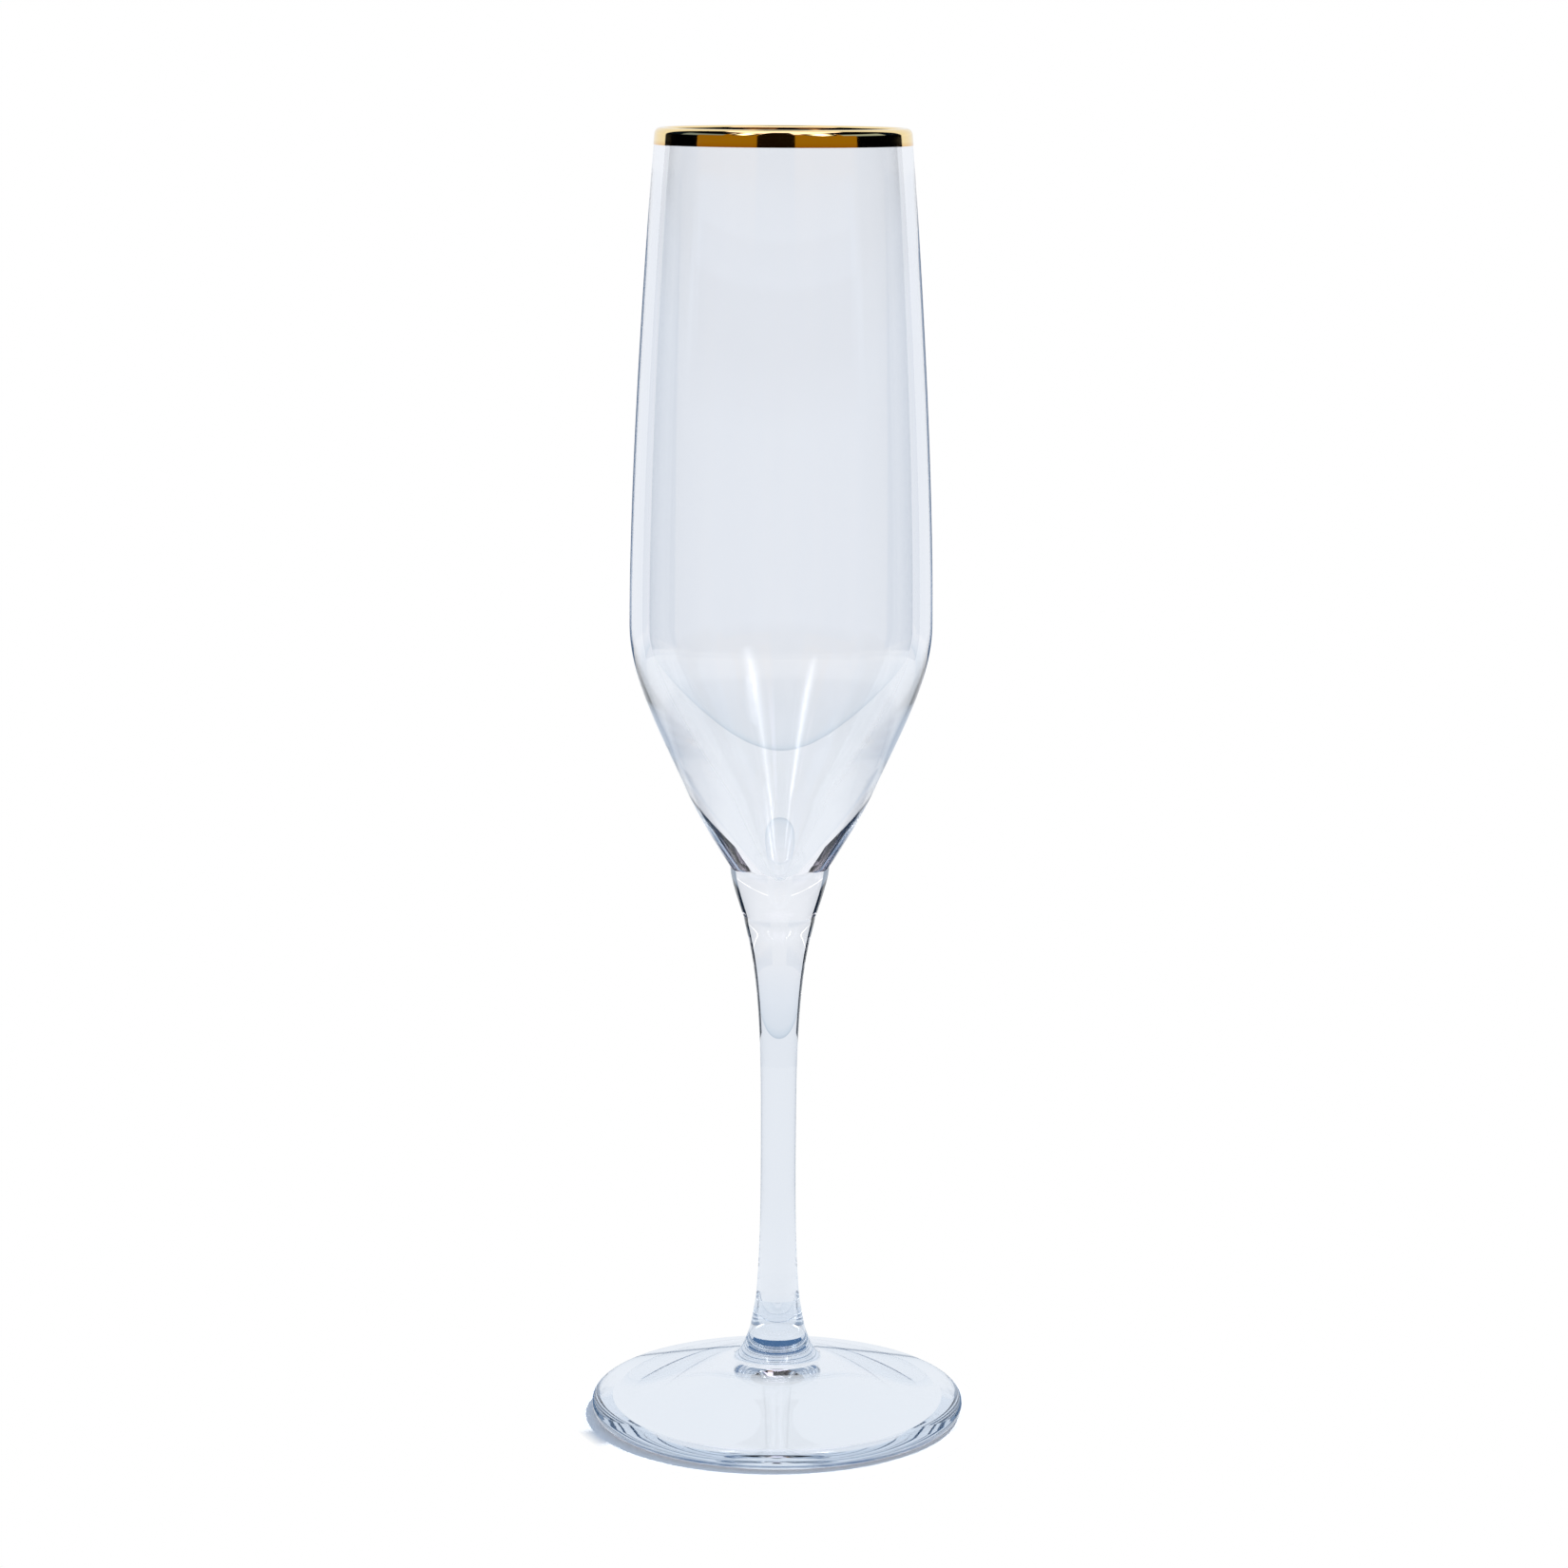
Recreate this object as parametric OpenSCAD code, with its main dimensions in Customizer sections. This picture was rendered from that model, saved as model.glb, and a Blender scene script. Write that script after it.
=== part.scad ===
// Champagne flute of clear glass with a band of fired gold over the lip.
// A blown bowl on a short solid neck, a drawn stem and a pressed foot are fused in line on flat
// weld faces.
// Millimetres, +Z up, standing on z = 0 with its axis on Z.

/* [Bowl] */
// Height of the glass bowl, from its weld face to the top of the lip
bowl_h = 141; // [123:1:163]
// Outside diameter at the lip
rim_d = 45.2; // [40:0.2:52]
// Greatest outside diameter, at the belly
belly_d = 54.3; // [48:0.1:64]
// Height of the belly above the weld face
belly_h = 53; // [46:0.5:62]
// Lean of the wall at the lip, in degrees inwards
rim_lean = 5; // [1:0.5:8]
// Straight stretch of wall under the lip
lip_straight = 6; // [5.5:0.5:10]
// Outside diameter a third of the way up the cone
cone_d = 34.4; // [30:0.2:38]
// Height of that place above the neck
cone_h = 14.8; // [12:0.2:18]
// Lean of the cone's side there, in degrees
cone_lean = 23.5; // [18:0.5:28]
// Lean of the cone's side where it meets the neck in a crease, in degrees
crease_lean = 31.5; // [26:0.5:36]
// Wall thickness at the lip, which is fully rounded
lip_wall = 2.2; // [1.6:0.1:3]
// Wall thickness at the belly
belly_wall = 3.3; // [2.4:0.1:4.6]
// Solid glass between the tip of the hollow and the weld face
bowl_floor = 7.2; // [4:0.1:12]
// Radius of the tip of the hollow
tip_r = 1.1; // [0.8:0.1:3]
// Lean of the hollow's side just above its tip, in degrees
tip_lean = 26; // [20:1:34]

/* [Neck] */
// Diameter of the neck under the crease
neck_d = 17.9; // [15:0.1:22]
// Height of the neck, from the weld face to the crease
neck_h = 8.9; // [6:0.1:12]
// Lean of the neck's side above the weld, in degrees
neck_lean = 18.5; // [10:0.5:24]
// Step in from the neck to the stem's head, all round the weld
weld_step = 0.15; // [0.05:0.01:0.3]

/* [Gold band] */
// Height of the band outside the lip
band_h = 3; // [1.5:0.1:5]
// Height of the band inside the lip
band_in_h = 1.6; // [1.4:0.1:5]
// Thickness of the gold
band_t = 0.1; // [0.05:0.01:0.3]

/* [Stem] */
// Length of the stem between its two weld faces
stem_l = 72; // [54:1:95]
// Diameter of the stem's head, fused to the neck
head_d = 13; // [12:0.1:15]
// Diameter of the stem under the round shoulder of its head
shoulder_d = 11.6; // [10.6:0.1:12]
// Height of that shoulder
shoulder_h = 3.6; // [2.6:0.1:5]
// Lean of the stem's side under the shoulder, in degrees
head_lean = 13.6; // [8:0.2:18]
// Least diameter of the stem
waist_d = 6.4; // [5:0.1:8]
// Height of the least diameter above the foot's weld face
waist_h = 34; // [24:1:44]
// Diameter of the stem's lower end, fused to the foot
tail_d = 8; // [6.6:0.1:10]
// Lean of the stem's side at its lower end, in degrees
tail_lean = 5; // [2:0.5:12]

/* [Foot] */
// Diameter of the foot
foot_d = 68.4; // [60:0.2:80]
// Thickness of the foot's rounded edge
edge_t = 4.2; // [3:0.1:5.4]
// Slope of the foot's upper side, in degrees
foot_slope = 15; // [10:0.5:20]
// Width of the flat ring that the flute stands on
rest_w = 2.6; // [1.6:0.1:5]
// Height of the hollow under the foot, at its middle
hollow_h = 7; // [3:0.1:8]
// Diameter at which the flare under the stem runs out on the foot
flare_d = 17; // [14:0.2:24]
// Height of that flare
flare_h = 6.9; // [4:0.1:10]
// Height of the nub above the flare, up to the weld face
nub_h = 4.5; // [2:0.1:8]
// Lean of the nub's side, in degrees
nub_lean = 10; // [4:0.5:12]

/* [Hidden] */
$fn = 96;

// Straight pieces along each curve of a profile, and round a lip, edge or tip
curve_n = 20;
round_n = 16;

// How far a curve keeps to its end directions, as shares of the height that it climbs
chimney_hold = [0.38, 0.05];
cone_hold = [0.33, 0.30];
crease_hold = [0.31, 0.34];
neck_hold = [0.23, 0.30];
hollow_hold = [0.30, 0.29];
shoulder_hold = [0.26, 0.27];
head_hold = [0.124, 0.645];
tail_hold = [0.19, 0.35];
flare_hold = [0.50, 0.18];
under_hold = [0.34, 0.42];

// Points of a cubic curve from p to q, given the handle points next to each end
function curve(p, p_hand, q_hand, q) = [
    for (i = [0 : curve_n])
        let (u = i / curve_n, v = 1 - u)
            v * v * v * p + 3 * v * v * u * p_hand + 3 * v * u * u * q_hand + u * u * u * q
];
// Points round a circle of radius r about c, from angle a to angle b
function round_about(c, r, a, b) = [
    for (i = [0 : round_n])
        let (t = a + (b - a) * i / round_n) c + r * [cos(t), sin(t)]
];
// Direction of a side that leans outwards by lean while it rises by 1
function rising(lean) = [tan(lean), 1];
function reversed(points) = [for (i = [len(points) - 1 : -1 : 0]) points[i]];

// The foot, from the table up to its weld face
edge_r = edge_t / 2;
edge_c = [foot_d / 2 - edge_r, edge_r];
slope_start = edge_c + edge_r * [sin(foot_slope), cos(foot_slope)];
rest_r = edge_c[0] - rest_w;
flare_low = [flare_d / 2, slope_start[1] + (slope_start[0] - flare_d / 2) * tan(foot_slope)];
foot_weld_z = flare_low[1] + flare_h + nub_h;
flare_top = [tail_d / 2 + nub_h * tan(nub_lean), flare_low[1] + flare_h];

// The stem, from weld face to weld face
waist_z = foot_weld_z + waist_h;
bowl_weld_z = foot_weld_z + stem_l;
tail_end = [tail_d / 2, foot_weld_z];
waist = [waist_d / 2, waist_z];
head_end = [head_d / 2, bowl_weld_z];
shoulder = [shoulder_d / 2, bowl_weld_z - shoulder_h];
head_rise = shoulder[1] - waist_z;

// The bowl: its neck and the crease above it, the round of its lip, the straight wall under it, its
// belly, cone and hollow
neck_low = [head_d / 2 + weld_step, bowl_weld_z];
crease = [neck_d / 2, bowl_weld_z + neck_h];
lip_r = lip_wall / 2;
lip_top_z = bowl_weld_z + bowl_h;
lip_c = [rim_d / 2 - lip_r * cos(rim_lean), lip_top_z - lip_r];
lip_out = [cos(rim_lean), sin(rim_lean)];
down_wall = [sin(rim_lean), -cos(rim_lean)];
wall_out = lip_c + lip_r * lip_out + lip_straight * down_wall;
wall_in = lip_c - lip_r * lip_out + lip_straight * down_wall;
belly_z = bowl_weld_z + belly_h;
belly_out = [belly_d / 2, belly_z];
belly_in = [belly_d / 2 - belly_wall, belly_z];
chimney_rise = wall_out[1] - belly_z;
cone_out = [cone_d / 2, crease[1] + cone_h];
cone_rise = belly_z - cone_out[1];
tip_c = [0, bowl_weld_z + bowl_floor + tip_r];
tip_end = tip_c + tip_r * [cos(tip_lean), -sin(tip_lean)];
hollow_rise = belly_z - tip_end[1];

// The stretch of wall under the gold band, over the lip from outside to inside,
// stood off from the glass by a gap
function lip_wrap(gap) = concat(
    [lip_c + (lip_r + gap) * lip_out + (band_h - lip_r) * down_wall],
    round_about(lip_c, lip_r + gap, rim_lean, rim_lean + 180),
    [lip_c - (lip_r + gap) * lip_out + (band_in_h - lip_r) * down_wall]
);

bowl_outside = concat(
    curve(
        neck_low,
        neck_low + neck_hold[1] * neck_h * rising(neck_lean),
        crease - [0, neck_hold[0] * neck_h],
        crease
    ),
    curve(
        crease,
        crease + crease_hold[1] * cone_h * rising(crease_lean),
        cone_out - crease_hold[0] * cone_h * rising(cone_lean),
        cone_out
    ),
    curve(
        cone_out,
        cone_out + cone_hold[1] * cone_rise * rising(cone_lean),
        belly_out - [0, cone_hold[0] * cone_rise],
        belly_out
    ),
    curve(
        belly_out,
        belly_out + [0, chimney_hold[0] * chimney_rise],
        wall_out - chimney_hold[1] * chimney_rise * rising(-rim_lean),
        wall_out
    )
);
bowl_inside = concat(
    curve(
        wall_in,
        wall_in - chimney_hold[1] * chimney_rise * rising(-rim_lean),
        belly_in + [0, chimney_hold[0] * chimney_rise],
        belly_in
    ),
    curve(
        belly_in,
        belly_in - [0, hollow_hold[0] * hollow_rise],
        tip_end + hollow_hold[1] * hollow_rise * rising(tip_lean),
        tip_end
    ),
    round_about(tip_c, tip_r, -tip_lean, -90)
);

// The blown bowl: a short solid neck, a crease, a cone that swells to the belly, a chimney that
// draws in to the lip, and a hollow that runs down to a small round tip at the neck
module bowl() {
    color("lightsteelblue", 0.35)
        rotate_extrude()
            polygon(concat([[0, bowl_weld_z]], bowl_outside, lip_wrap(0), bowl_inside));
}

// The fired gold: one thin band that wraps the round of the lip, inside and out
module gold_rim() {
    color("goldenrod")
        rotate_extrude()
            polygon(concat(lip_wrap(band_t), reversed(lip_wrap(0))));
}

// The drawn stem: thin at the waist, swelling up to a round shoulder under the neck and a little
// down to the foot
module stem() {
    color("lightsteelblue", 0.35)
        rotate_extrude()
            polygon(concat(
                [[0, foot_weld_z]],
                curve(
                    tail_end,
                    tail_end + tail_hold[1] * waist_h * rising(-tail_lean),
                    waist - [0, tail_hold[0] * waist_h],
                    waist
                ),
                curve(
                    waist,
                    waist + [0, head_hold[1] * head_rise],
                    shoulder - head_hold[0] * head_rise * rising(head_lean),
                    shoulder
                ),
                curve(
                    shoulder,
                    shoulder + shoulder_hold[1] * shoulder_h * rising(head_lean),
                    head_end - [0, shoulder_hold[0] * shoulder_h],
                    head_end
                ),
                [[0, bowl_weld_z]]
            ));
}

// The pressed foot: a sloping disc with a round edge, hollow beneath, that stands on a
// flat ring and rises through a flare to the nub that the stem is fused to
module foot() {
    color("lightsteelblue", 0.35)
        rotate_extrude()
            polygon(concat(
                [[0, foot_weld_z], [0, hollow_h]],
                curve(
                    [0, hollow_h],
                    [under_hold[1] * rest_r, hollow_h],
                    [rest_r * (1 - under_hold[0]), rest_r * under_hold[0] * tan(foot_slope)],
                    [rest_r, 0]
                ),
                round_about(edge_c, edge_r, -90, 90 - foot_slope),
                curve(
                    flare_low,
                    flare_low + flare_hold[1] * flare_h * [-1, tan(foot_slope)],
                    flare_top + flare_hold[0] * flare_h * rising(-nub_lean) * -1,
                    flare_top
                ),
                [tail_end]
            ));
}

bowl();
gold_rim();
stem();
foot();
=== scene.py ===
# %% [markdown]
# # A champagne flute with a gold lip
#
# The flute is three pieces of clear glass, fused in line: a blown bowl on a short solid neck, a drawn
# stem and a pressed foot. A band of gold is painted over the lip and fired on. All of it is round, so
# every piece is turned on a lathe: its half outline is drawn as a curve and spun about the upright
# axis. The lesson starts from a frame of solids that fixes where each piece sits and how large it is.

# %% Load the frame
import math

import bpy
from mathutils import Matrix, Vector


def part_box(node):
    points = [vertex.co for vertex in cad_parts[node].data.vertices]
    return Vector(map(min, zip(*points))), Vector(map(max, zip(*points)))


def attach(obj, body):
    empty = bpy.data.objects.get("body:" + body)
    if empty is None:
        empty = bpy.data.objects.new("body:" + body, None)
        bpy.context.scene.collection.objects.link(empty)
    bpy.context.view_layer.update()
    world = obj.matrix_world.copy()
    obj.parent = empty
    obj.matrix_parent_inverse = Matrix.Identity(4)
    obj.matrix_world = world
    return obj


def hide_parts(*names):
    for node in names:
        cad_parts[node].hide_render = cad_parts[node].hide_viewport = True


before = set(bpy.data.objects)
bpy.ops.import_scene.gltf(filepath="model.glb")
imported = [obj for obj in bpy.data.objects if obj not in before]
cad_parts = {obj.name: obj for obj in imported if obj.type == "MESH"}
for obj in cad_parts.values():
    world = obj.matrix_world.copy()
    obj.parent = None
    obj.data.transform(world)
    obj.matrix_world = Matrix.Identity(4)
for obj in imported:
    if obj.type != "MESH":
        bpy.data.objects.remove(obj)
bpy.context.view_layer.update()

# %% [markdown]
# ## What the frame gives
#
# Outlines are drawn in millimetres, as pairs of radius and height, and turned into metres at the
# lathe. The heights of the two fused seams and the radii of the belly and of the stem's head are read
# from the frame, so the pieces always meet. The other sizes stand with the piece that they shape.

# %% Welds and widest radii
MM = 0.001

foot_weld_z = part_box("stem")[0].z / MM
bowl_weld_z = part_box("bowl")[0].z / MM
head_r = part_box("stem")[1].x / MM
belly_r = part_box("bowl")[1].x / MM
print("welds at", round(foot_weld_z, 2), "and", round(bowl_weld_z, 2), "mm")
print("radius of head and belly", round(head_r, 2), "and", round(belly_r, 2), "mm")

# %% [markdown]
# ## Drawing an outline
#
# A half outline is a chain of cubic pieces, the same curves that Blender's Bezier tool draws. Each
# piece is four points: a start, two handles and an end. A straight stretch is a piece whose handles
# lie on the line, and a round is a few pieces of a circle. Chaining pieces keeps the code close to
# how a profile is drawn by hand: start on the axis, walk up the outside, and come back down inside.

# %% Straight, curved and round stretches of an outline
AXIS = Vector((1.0, 0.0))
UP = Vector((0.0, 1.0))


def straight(start, end):
    third = (end - start) / 3
    return [(start, start + third, end - third, end)]


def curved(start, start_handle, end_handle, end):
    return [(start, start_handle, end_handle, end)]


def at_angle(angle):
    return Vector((math.cos(math.radians(angle)), math.sin(math.radians(angle))))


def round_about(centre, radius, first, last, pieces=3):
    """An arc from one angle to another. Handles of this length keep a cubic on its circle."""
    turn_each = (last - first) / pieces
    reach = radius * 4 / 3 * math.tan(math.radians(turn_each) / 4)
    chain = []
    for i in range(pieces):
        a = first + i * turn_each
        b = a + turn_each
        start = centre + radius * at_angle(a)
        end = centre + radius * at_angle(b)
        start_way = Vector((-at_angle(a).y, at_angle(a).x))
        end_way = Vector((-at_angle(b).y, at_angle(b).x))
        chain.append((start, start + reach * start_way, end - reach * end_way, end))
    return chain


def rising(lean):
    """The way of a side that leans outwards by some degrees while it rises by 1."""
    return Vector((math.tan(math.radians(lean)), 1.0))


# %% [markdown]
# ## The lathe
#
# The chain becomes a Bezier curve in an upright plane, the curve becomes a line of vertices, and
# Spin carries the line round the upright axis. Spin leaves a seam where it started and a fan of
# loose points on the axis, so doubles are merged first and the normals are then made to point out.
# Smoothing by angle keeps the long curves soft and the flat seams crisp. A Screw modifier could turn
# the line too, but Spin leaves a plain mesh whose seam can be closed at once.

# %% Draw an outline as a line of vertices
CURVE_STEPS = 32


def draw(name, chain, closed=False, azimuth=90.0):
    """A line along the chain, in the upright plane that faces an azimuth about the axis."""
    bpy.ops.object.select_all(action="DESELECT")
    bpy.ops.curve.primitive_bezier_curve_add()
    curve = bpy.context.object
    curve.name = name
    way = Vector((math.sin(math.radians(azimuth)), -math.cos(math.radians(azimuth)), 0.0))
    spline = curve.data.splines[0]
    spline.resolution_u = CURVE_STEPS
    spline.use_cyclic_u = closed
    knots = len(chain) if closed else len(chain) + 1
    spline.bezier_points.add(knots - len(spline.bezier_points))

    def placed(p):
        return (way * p.x + Vector((0.0, 0.0, p.y))) * MM

    for point in spline.bezier_points:
        point.handle_left_type = "FREE"
        point.handle_right_type = "FREE"
    for i, (start, start_handle, end_handle, end) in enumerate(chain):
        here = spline.bezier_points[i]
        there = spline.bezier_points[(i + 1) % knots]
        here.co = placed(start)
        here.handle_right = placed(start_handle)
        there.handle_left = placed(end_handle)
        there.co = placed(end)
    if not closed:
        spline.bezier_points[0].handle_left = spline.bezier_points[0].co
        spline.bezier_points[-1].handle_right = spline.bezier_points[-1].co
    bpy.ops.object.convert(target="MESH")
    return bpy.context.object


# %% Turn the line into a closed piece
TURN_STEPS = 160
MERGE_DISTANCE = 1e-7
CRISP_ANGLE = math.radians(40)


def turn(piece, angle=2 * math.pi, steps=TURN_STEPS):
    """Spins the drawn line about the upright axis and closes the seams."""
    bpy.ops.object.mode_set(mode="EDIT")
    bpy.ops.mesh.select_all(action="SELECT")
    bpy.ops.mesh.spin(steps=steps, angle=angle, center=(0, 0, 0), axis=(0, 0, 1))
    bpy.ops.mesh.select_all(action="SELECT")
    bpy.ops.mesh.remove_doubles(threshold=MERGE_DISTANCE)
    bpy.ops.mesh.normals_make_consistent(inside=False)
    bpy.ops.object.mode_set(mode="OBJECT")
    bpy.ops.object.shade_smooth_by_angle(angle=CRISP_ANGLE)
    print(piece.name, "has", len(piece.data.polygons), "faces")
    return piece


# %% [markdown]
# ## The bowl
#
# A short solid neck stands on the weld and ends in a crease. Above it the outside swells in a cone,
# turns at the belly and draws in to the lip, which the flame has rounded. The inside follows it at
# the thickness of the wall, which grows towards the belly, and the hollow ends in a small round tip
# at the height of the crease. A cylinder with its rings pushed in and out would come close, but glass
# shows every kink, so the wall is a few long curves instead.
#
# Sizes are in millimetres and leans in degrees from upright. A hold says how far a curve keeps to its
# direction at each end, as a share of the height that it climbs.

# %% Sizes of the bowl
bowl_h = 141.0
rim_r = 22.6
rim_lean = 5.0
lip_straight = 6.0
lip_wall = 2.2
belly_h = 53.0
belly_wall = 3.3
cone_r = 17.2
cone_h = 14.8
cone_lean = 23.5
crease_lean = 31.5
bowl_floor = 7.2
tip_r = 1.1
tip_lean = 26.0
neck_r = 8.95
neck_h = 8.9
neck_lean = 18.5
weld_step = 0.15

chimney_hold = (0.38, 0.05)
cone_hold = (0.33, 0.30)
crease_hold = (0.31, 0.34)
neck_hold = (0.23, 0.30)
hollow_hold = (0.30, 0.29)
print("bowl", bowl_h, "mm tall, wall", lip_wall, "to", belly_wall, "mm")

# %% Points of the bowl's outline
lip_r = lip_wall / 2
lip_top_z = bowl_weld_z + bowl_h
lip_out = at_angle(rim_lean)
down_wall = Vector((lip_out.y, -lip_out.x))
lip_c = Vector((rim_r - lip_r * lip_out.x, lip_top_z - lip_r))
wall_out = lip_c + lip_r * lip_out + lip_straight * down_wall
wall_in = lip_c - lip_r * lip_out + lip_straight * down_wall
belly_out = Vector((belly_r, bowl_weld_z + belly_h))
belly_in = belly_out - belly_wall * AXIS
chimney_rise = wall_out.y - belly_out.y

neck_low = Vector((head_r + weld_step, bowl_weld_z))
crease = Vector((neck_r, bowl_weld_z + neck_h))
cone_out = Vector((cone_r, crease.y + cone_h))
cone_rise = belly_out.y - cone_out.y
tip_c = Vector((0.0, bowl_weld_z + bowl_floor + tip_r))
tip_end = tip_c + tip_r * at_angle(-tip_lean)
hollow_rise = belly_in.y - tip_end.y
print("crease at", round(crease.y, 1), "and belly at", round(belly_out.y, 1), "mm")

# %% Neck and outside of the bowl
neck_chain = (
    straight(Vector((0.0, bowl_weld_z)), neck_low)
    + curved(
        neck_low,
        neck_low + neck_hold[1] * neck_h * rising(neck_lean),
        crease - neck_hold[0] * neck_h * UP,
        crease,
    )
)
outside_chain = (
    curved(
        crease,
        crease + crease_hold[1] * cone_h * rising(crease_lean),
        cone_out - crease_hold[0] * cone_h * rising(cone_lean),
        cone_out,
    )
    + curved(
        cone_out,
        cone_out + cone_hold[1] * cone_rise * rising(cone_lean),
        belly_out - cone_hold[0] * cone_rise * UP,
        belly_out,
    )
    + curved(
        belly_out,
        belly_out + chimney_hold[0] * chimney_rise * UP,
        wall_out - chimney_hold[1] * chimney_rise * rising(-rim_lean),
        wall_out,
    )
)
print("neck and outside are", len(neck_chain + outside_chain), "stretches")

# %% Lip and inside of the bowl
lip_chain = (
    straight(wall_out, lip_c + lip_r * lip_out)
    + round_about(lip_c, lip_r, rim_lean, rim_lean + 180)
    + straight(lip_c - lip_r * lip_out, wall_in)
)
inside_chain = (
    curved(
        wall_in,
        wall_in - chimney_hold[1] * chimney_rise * rising(-rim_lean),
        belly_in + chimney_hold[0] * chimney_rise * UP,
        belly_in,
    )
    + curved(
        belly_in,
        belly_in - hollow_hold[0] * hollow_rise * UP,
        tip_end + hollow_hold[1] * hollow_rise * rising(tip_lean),
        tip_end,
    )
    + round_about(tip_c, tip_r, -tip_lean, -90, pieces=1)
)
blown_bowl = turn(draw("blown_bowl", neck_chain + outside_chain + lip_chain + inside_chain))

# %% [markdown]
# ## The stem
#
# A stem is drawn out of a hot gather of glass: it is thinnest at its waist, swells in a long curve to
# a round shoulder under the neck and a little at the foot. A tapered cylinder would be too straight,
# so three curves hold the taper. At the foot it ends a hair above the weld, because the foot is
# tinted in its depth, and the end of that depth must not lie in the same plane as the stem's end.

# %% Turn the stem
waist_r = 3.2
waist_h = 34.0
tail_r = 4.0
tail_lean = 5.0
shoulder_r = 5.8
shoulder_h = 3.6
head_lean = 13.6
weld_hair = 0.002

shoulder_hold = (0.26, 0.27)
head_hold = (0.124, 0.645)
tail_hold = (0.19, 0.35)

tail_end = Vector((tail_r, foot_weld_z + weld_hair))
waist = Vector((waist_r, foot_weld_z + waist_h))
head_end = Vector((head_r, bowl_weld_z))
shoulder = Vector((shoulder_r, bowl_weld_z - shoulder_h))
head_rise = shoulder.y - waist.y

stem_chain = (
    straight(Vector((0.0, tail_end.y)), tail_end)
    + curved(
        tail_end,
        tail_end + tail_hold[1] * waist_h * rising(-tail_lean),
        waist - tail_hold[0] * waist_h * UP,
        waist,
    )
    + curved(
        waist,
        waist + head_hold[1] * head_rise * UP,
        shoulder - head_hold[0] * head_rise * rising(head_lean),
        shoulder,
    )
    + curved(
        shoulder,
        shoulder + shoulder_hold[1] * shoulder_h * rising(head_lean),
        head_end - shoulder_hold[0] * shoulder_h * UP,
        head_end,
    )
    + straight(head_end, Vector((0.0, bowl_weld_z)))
)
drawn_stem = turn(draw("drawn_stem", stem_chain))

# %% [markdown]
# ## The foot
#
# The foot is pressed: a disc that slopes up to a flare and a short nub, with a round edge. Beneath,
# it is hollow and stands on a narrow flat ring, so that it doesn't rock. A flat cylinder with a bevel
# could be pulled up in the middle, but one outline gives the edge, the flare and the hollow together.

# %% Points of the foot's outline
foot_r = 34.2
edge_t = 4.2
foot_slope = 15.0
rest_w = 2.6
hollow_h = 7.0
flare_r = 8.5
flare_h = 6.9
nub_h = 4.5
nub_lean = 10.0

flare_hold = (0.50, 0.18)
under_hold = (0.34, 0.42)

edge_r = edge_t / 2
edge_c = Vector((foot_r - edge_r, edge_r))
slope_start = edge_c + edge_r * at_angle(90 - foot_slope)
slope = math.tan(math.radians(foot_slope))
flare_low = Vector((flare_r, slope_start.y + (slope_start.x - flare_r) * slope))
flare_top = flare_low + flare_h * UP
flare_top.x = tail_r + nub_h * math.tan(math.radians(nub_lean))
nub_end = Vector((tail_r, foot_weld_z))
rest_in = Vector((edge_c.x - rest_w, 0.0))
hollow_top = Vector((0.0, hollow_h))
print("foot", 2 * foot_r, "mm across, flare from", round(flare_low.y, 1), "to", round(flare_top.y, 1), "mm")

# %% Turn the foot
foot_chain = (
    straight(Vector((0.0, foot_weld_z)), nub_end)
    + straight(nub_end, flare_top)
    + curved(
        flare_top,
        flare_top - flare_hold[0] * flare_h * rising(-nub_lean),
        flare_low + flare_hold[1] * flare_h * Vector((-1.0, slope)),
        flare_low,
    )
    + straight(flare_low, slope_start)
    + round_about(edge_c, edge_r, 90 - foot_slope, -90)
    + straight(edge_c - edge_r * UP, rest_in)
    + curved(
        rest_in,
        Vector((rest_in.x * (1 - under_hold[0]), rest_in.x * under_hold[0] * slope)),
        hollow_top + under_hold[1] * rest_in.x * AXIS,
        hollow_top,
    )
)
pressed_foot = turn(draw("pressed_foot", foot_chain))

# %% [markdown]
# ## The gold band
#
# Liquid gold is brushed over the lip and fired. The band follows the wall for a few millimetres
# outside, goes over the round of the lip and ends just inside. Its back is sunk a hair into the
# glass, so that no light finds a gap between the two. The lip's own faces could be painted instead,
# but the gold has a thickness and a clean lower edge, and it is a part by itself.

# %% Turn the gold band
band_h = 3.0
band_in_h = 1.6
gold_t = 0.1
gold_sunk = 0.02


def lip_wrap(gap):
    """The way over the lip from outside to inside, stood off from the glass by a gap."""
    out_low = lip_c + (lip_r + gap) * lip_out + (band_h - lip_r) * down_wall
    in_low = lip_c - (lip_r + gap) * lip_out + (band_in_h - lip_r) * down_wall
    return (
        straight(out_low, lip_c + (lip_r + gap) * lip_out)
        + round_about(lip_c, lip_r + gap, rim_lean, rim_lean + 180)
        + straight(lip_c - (lip_r + gap) * lip_out, in_low)
    )


def backwards(chain):
    return [piece[::-1] for piece in reversed(chain)]


face = lip_wrap(gold_t)
back = backwards(lip_wrap(-gold_sunk))
band_chain = face + straight(face[-1][-1], back[0][0]) + back + straight(back[-1][-1], face[0][0])
gold_band = turn(draw("gold_band", band_chain, closed=True))

# %% [markdown]
# ## Small tools for finishes
#
# A finish is a tree of shader nodes. The same few steps come again and again: start an empty
# material, read the piece's own coordinates, stretch a noise, carry a value onto another range, and
# mix two colours or two shaders. Each gets a short function, so that a finish reads as a recipe.

# %% An empty material, and where a point is on its piece


def blank_material(name):
    material = bpy.data.materials.new(name)
    material.use_nodes = True
    tree = material.node_tree
    tree.nodes.clear()
    return material, tree, tree.nodes.new("ShaderNodeOutputMaterial")


def node_of(tree, kind):
    return next(node for node in tree.nodes if node.type == kind)


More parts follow.
